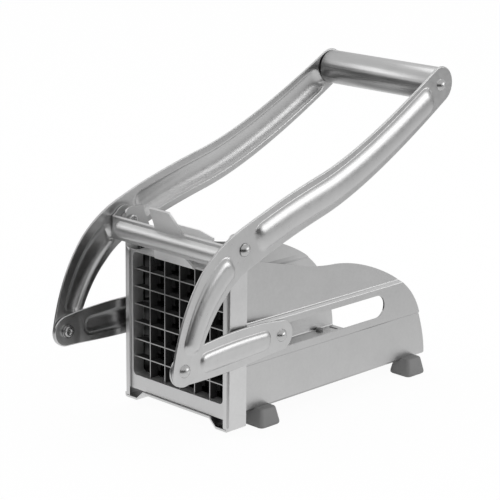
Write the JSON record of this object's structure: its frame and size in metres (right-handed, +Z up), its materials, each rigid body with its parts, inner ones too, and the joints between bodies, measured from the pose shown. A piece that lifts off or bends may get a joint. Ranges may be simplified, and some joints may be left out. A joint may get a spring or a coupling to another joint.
{
  "type": "french fry cutter",
  "caption": "Stainless steel potato chipper: a two-armed lever pushes a peg block along a trough and through a removable blade grid.",
  "frame": {"origin": "middle of the bottom of the bounding box, on the surface that the feet stand on", "axes": "+Z up; +Y towards the open rear of the trough, away from the blades; +X towards the right side as seen from the blades"},
  "size_m": [0.1022, 0.2276, 0.1841],
  "materials": {
    "sheet_steel": "satin brushed stainless sheet",
    "rivet_steel": "bright stainless, smooth domed heads",
    "blade_steel": "thin ground stainless strip",
    "foot_rubber": "matt mid grey rubber",
    "black_plastic": "matt black moulded plastic"
  },
  "bodies": {
    "base": {"trough": "sheet_steel", "front_frame": "sheet_steel", "foot_front_left": "foot_rubber", "foot_front_right": "foot_rubber", "foot_rear_left": "foot_rubber", "foot_rear_right": "foot_rubber", "pivot_spacers": "rivet_steel", "pivot_rivets": "rivet_steel"},
    "lever": {"lever_arm_left": "sheet_steel", "lever_arm_right": "sheet_steel", "handle_tube": "sheet_steel", "handle_rod": "rivet_steel", "handle_plugs": "black_plastic", "front_rivets": "rivet_steel"},
    "link_left": {"link_left": "sheet_steel", "rear_rivet_left": "rivet_steel"},
    "link_right": {"link_right": "sheet_steel", "rear_rivet_right": "rivet_steel"},
    "gate": {"gate_bar": "sheet_steel"},
    "cartridge": {"cartridge_frame": "sheet_steel", "vertical_blades": "blade_steel", "horizontal_blades": "blade_steel"},
    "pusher": {"pusher_block": "black_plastic", "pusher_plate": "sheet_steel", "pusher_screws": "rivet_steel", "pusher_axle": "rivet_steel"}
  },
  "joints": [
    {"name": "lever_hinge", "type": "hinge", "parent": "base", "child": "lever", "pos_m": [0, -0.06175, 0.1062], "axis": [1, 0, 0], "range_deg": [-10, 72]},
    {"name": "pusher_slide", "type": "slide", "parent": "base", "child": "pusher", "axis": [0, 1, 0], "range_m": [-0.0117, 0.084]},
    {"name": "link_left_hinge", "type": "hinge", "parent": "lever", "child": "link_left", "pos_m": [-0.0465, -0.10505, 0.0491], "axis": [1, 0, 0], "range_deg": [-72, 10]},
    {"name": "link_right_hinge", "type": "hinge", "parent": "lever", "child": "link_right", "pos_m": [0.0465, -0.10505, 0.0491], "axis": [1, 0, 0], "range_deg": [-72, 10]},
    {"name": "gate_hinge", "type": "hinge", "parent": "base", "child": "gate", "pos_m": [0, -0.06175, 0.1062], "axis": [1, 0, 0], "range_deg": [-34, 0]},
    {"name": "cartridge_slide", "type": "slide", "parent": "base", "child": "cartridge", "axis": [0, 0, 1], "range_m": [0, 0.1]}
  ],
  "couplings": [
    {"joint": "pusher_slide", "follows": "lever_hinge", "m_per_rad": 0.0668},
    {"joint": "link_left_hinge", "follows": "lever_hinge", "ratio": -1},
    {"joint": "link_right_hinge", "follows": "lever_hinge", "ratio": -1}
  ]
}
